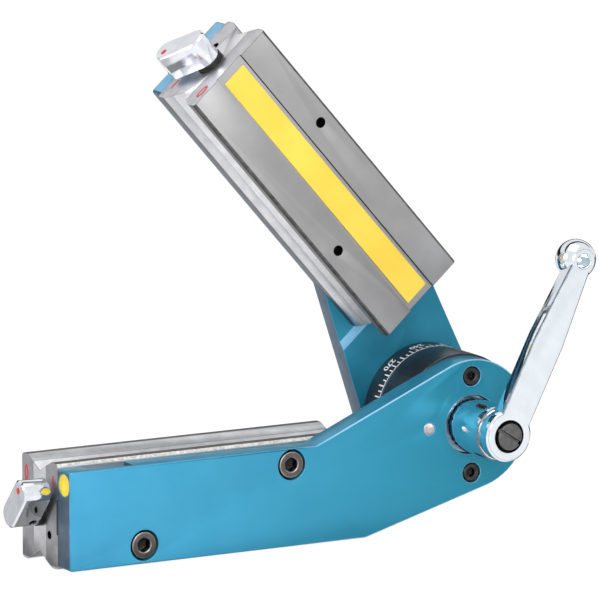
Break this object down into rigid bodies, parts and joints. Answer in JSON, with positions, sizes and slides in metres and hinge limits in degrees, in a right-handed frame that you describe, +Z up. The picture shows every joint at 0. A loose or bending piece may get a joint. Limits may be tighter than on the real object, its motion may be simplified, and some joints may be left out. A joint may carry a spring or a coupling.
{
  "type": "adjustable welding magnet",
  "caption": "Adjustable angle holder with two switchable magnet bars on hinged arm plates, a graduated drum and a clamp crank.",
  "frame": {"origin": "middle of the lower bar's bottom working face, between its two poles, in the plane of the lands", "axes": "+Z up, +X along the lower bar towards the pivot, -Y towards the clamp lever"},
  "size_m": [0.2879, 0.0944, 0.2492],
  "materials": {
    "front_anodised": "satin blue anodised",
    "rear_anodised": "satin blue anodised",
    "pole_steel": "ground mild steel",
    "core_metal": "milled bright",
    "chrome": "polished chrome plate",
    "black_oxide": "black oxide",
    "slotted_steel": "turned steel",
    "dowel_steel": "ground steel",
    "drum_black": "black anodised",
    "bronze": "turned bronze",
    "ferrite": "ground ferrite",
    "soft_iron": "machined iron",
    "inner_steel": "machined steel",
    "seal_rubber": "moulded rubber",
    "marker_yellow": "moulded plastic",
    "strip_yellow": "printed film"
  },
  "bodies": {
    "front_arm": {"front_plate": "front_anodised", "front_marker_disc": "marker_yellow", "index_ring": "drum_black", "index_ring_screws": "black_oxide", "index_ring_dowels": "dowel_steel", "pivot_bush": "bronze", "thrust_washer": "bronze", "lower_magnet_screws": "black_oxide", "lower_plate_pole": "pole_steel", "lower_free_pole": "pole_steel", "lower_core": "core_metal", "lower_tie_screws": "black_oxide", "lower_rotor_bushes": "bronze", "lower_stop_pin": "inner_steel", "lower_shaft_seal": "seal_rubber"},
    "rear_arm": {"rear_plate": "rear_anodised", "dial_ring": "drum_black", "dial_ring_screws": "black_oxide", "dial_ring_dowels": "dowel_steel", "pivot_stud": "inner_steel", "upper_magnet_screws": "black_oxide", "upper_marking_strip": "strip_yellow", "upper_plate_pole": "pole_steel", "upper_free_pole": "pole_steel", "upper_core": "core_metal", "upper_tie_screws": "black_oxide", "upper_rotor_bushes": "bronze", "upper_stop_pin": "inner_steel", "upper_shaft_seal": "seal_rubber"},
    "clamp_lever": {"clamp_boss": "chrome", "clamp_nut": "inner_steel", "boss_set_screw": "black_oxide", "crank_lever": "chrome", "crank_screw": "slotted_steel"},
    "lower_switch": {"lower_rotor_magnet": "ferrite", "lower_rotor_shoes": "soft_iron", "lower_drive_shaft": "inner_steel", "lower_tail_shaft": "inner_steel", "lower_switch_lever": "chrome", "lower_lever_set_screw": "black_oxide"},
    "upper_switch": {"upper_rotor_magnet": "ferrite", "upper_rotor_shoes": "soft_iron", "upper_drive_shaft": "inner_steel", "upper_tail_shaft": "inner_steel", "upper_switch_lever": "chrome", "upper_lever_set_screw": "black_oxide"}
  },
  "joints": [
    {"name": "arm_swing", "type": "hinge", "parent": "front_arm", "child": "rear_arm", "pos_m": [0.14, 0, 0.0508], "axis": [0, 1, 0], "range_deg": [-48, 220]},
    {"name": "clamp_turn", "type": "hinge", "parent": "front_arm", "child": "clamp_lever", "pos_m": [0.14, -0.06, 0.0508], "axis": [0, -1, 0], "range_deg": [0, 180]},
    {"name": "lower_switch_turn", "type": "hinge", "parent": "front_arm", "child": "lower_switch", "pos_m": [0, 0, 0.0254], "axis": [-1, 0, 0], "range_deg": [0, 90]},
    {"name": "upper_switch_turn", "type": "hinge", "parent": "rear_arm", "child": "upper_switch", "pos_m": [0.06626, 0.0005, 0.17248], "axis": [-0.6626, 0, 0.749], "range_deg": [0, 90]}
  ]
}
